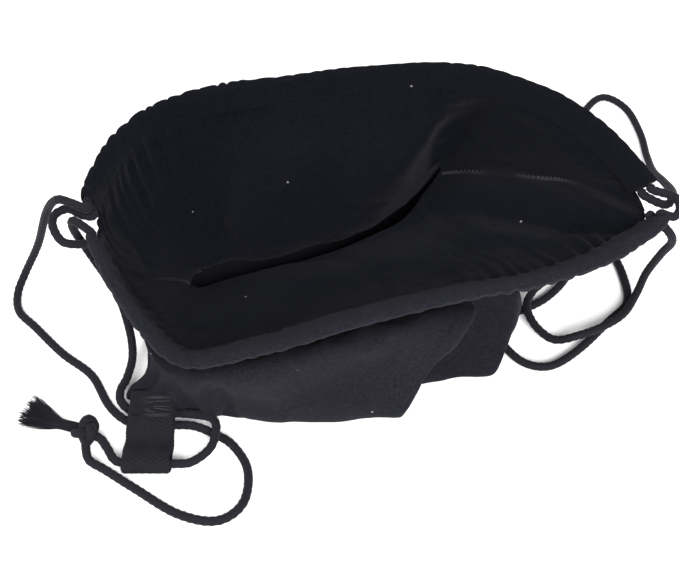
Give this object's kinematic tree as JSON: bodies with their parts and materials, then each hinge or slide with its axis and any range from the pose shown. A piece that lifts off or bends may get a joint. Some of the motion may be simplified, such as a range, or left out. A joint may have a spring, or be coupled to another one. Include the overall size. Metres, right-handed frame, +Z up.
{
  "type": "drawstring dice bag",
  "caption": "Small black cloth drawstring bag standing open, with two braided cords through its hem casings, knotted frayed ends and webbing corner loops.",
  "frame": {"origin": "on the resting plane, under the middle of the bag without its free cords", "axes": "+Z up, +X along the open mouth from its left opening to its right one, -Y towards the low front lip"},
  "size_m": [0.3187, 0.2645, 0.0902],
  "materials": {
    "cloth": "matte",
    "webbing": "matte",
    "cord": "matte",
    "thread": "matte"
  },
  "bodies": {
    "bag": {"front_panel": "cloth", "back_panel": "cloth", "side_seam_left": "thread", "side_seam_right": "thread", "tab_left": "webbing", "tab_right": "webbing", "tab_stitch_left": "thread", "tab_stitch_right": "thread", "left_turn": "cord", "right_turn": "cord", "left_strand_a": "cord", "left_strand_b": "cord", "right_strand_a": "cord", "right_strand_b": "cord"},
    "front_lip": {"front_casing": "cloth", "front_hem_stitch": "thread", "front_run_a": "cord", "front_run_b": "cord"},
    "back_lip": {"back_casing": "cloth", "back_hem_stitch": "thread", "back_run_a": "cord", "back_run_b": "cord"},
    "left_ends": {"left_knot": "cord", "left_tassel": "cord"},
    "right_ends": {"right_knot": "cord", "right_tassel": "cord"}
  },
  "joints": [
    {"name": "mouth_front", "type": "hinge", "parent": "bag", "child": "front_lip", "pos_m": [-0.122, 0.008, 0.067], "axis": [-0.9999, -0.0122, -0.0122], "range_deg": [0, 50], "deforming": ["front_panel"]},
    {"name": "mouth_back", "type": "hinge", "parent": "bag", "child": "back_lip", "pos_m": [-0.122, 0.008, 0.067], "axis": [0.9999, 0.0122, 0.0122], "range_deg": [0, 50], "deforming": ["back_panel"]},
    {"name": "left_pull", "type": "slide", "parent": "bag", "child": "left_ends", "axis": [-0.9272, 0.3746, 0], "range_m": [0, 0.03]},
    {"name": "right_pull", "type": "slide", "parent": "bag", "child": "right_ends", "axis": [-0.342, 0.9397, 0], "range_m": [0, 0.03]}
  ],
  "couplings": [
    {"joint": "mouth_back", "follows": "mouth_front", "ratio": 1},
    {"joint": "left_pull", "follows": "mouth_front", "m_per_rad": 0.034},
    {"joint": "right_pull", "follows": "mouth_front", "m_per_rad": 0.034}
  ]
}
